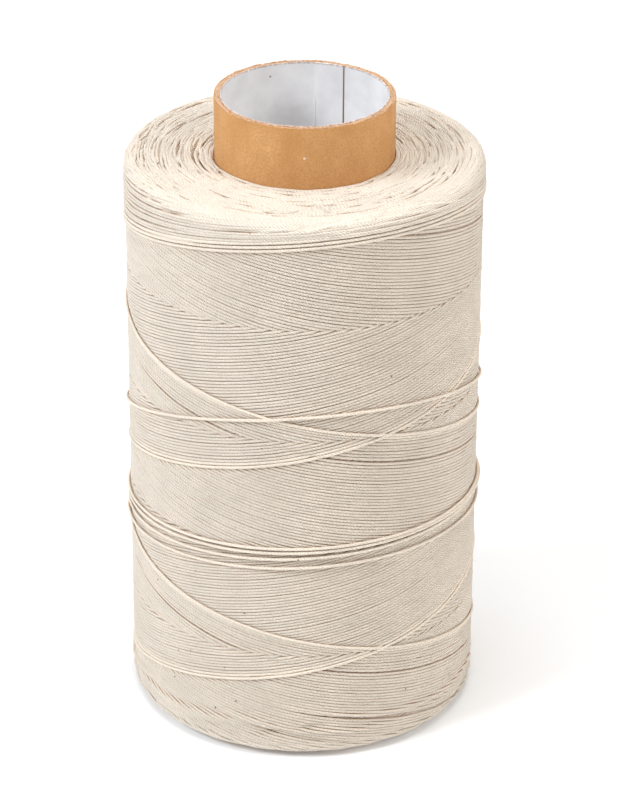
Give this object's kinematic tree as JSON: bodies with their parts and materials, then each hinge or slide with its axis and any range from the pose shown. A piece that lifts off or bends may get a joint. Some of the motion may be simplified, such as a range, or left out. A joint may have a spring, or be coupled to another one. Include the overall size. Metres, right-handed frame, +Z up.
{
  "type": "spool of thread",
  "caption": "Straight cardboard tube cross-wound with unbleached cotton thread, whose last near-level turns lie loose over the package; the tube stands proud at the top.",
  "frame": {"origin": "centre of the tube's lower end, which the object stands on", "axes": "+Z up along the tube, -Y towards the front, +X to the right of the front"},
  "size_m": [0.0846, 0.0846, 0.1524],
  "materials": {
    "white_paper": "matt white-lined paper",
    "grey_board": "raw grey-brown board, seen only at the cut ends",
    "kraft_paper": "machine-glazed golden brown kraft paper",
    "cotton_thread": "unbleached plied cotton, matt, slightly hairy"
  },
  "bodies": {
    "root": {"inner_liner": "white_paper", "board_ply_1": "grey_board", "board_ply_2": "grey_board", "board_ply_3": "grey_board", "kraft_facing": "kraft_paper", "thread_winding": "cotton_thread", "shoulder_turn_1": "cotton_thread", "shoulder_turn_2": "cotton_thread", "shoulder_turn_3": "cotton_thread", "loose_turn": "cotton_thread", "middle_turn_1": "cotton_thread", "middle_turn_2": "cotton_thread", "middle_turn_3": "cotton_thread", "lower_turn": "cotton_thread"}
  },
  "joints": []
}
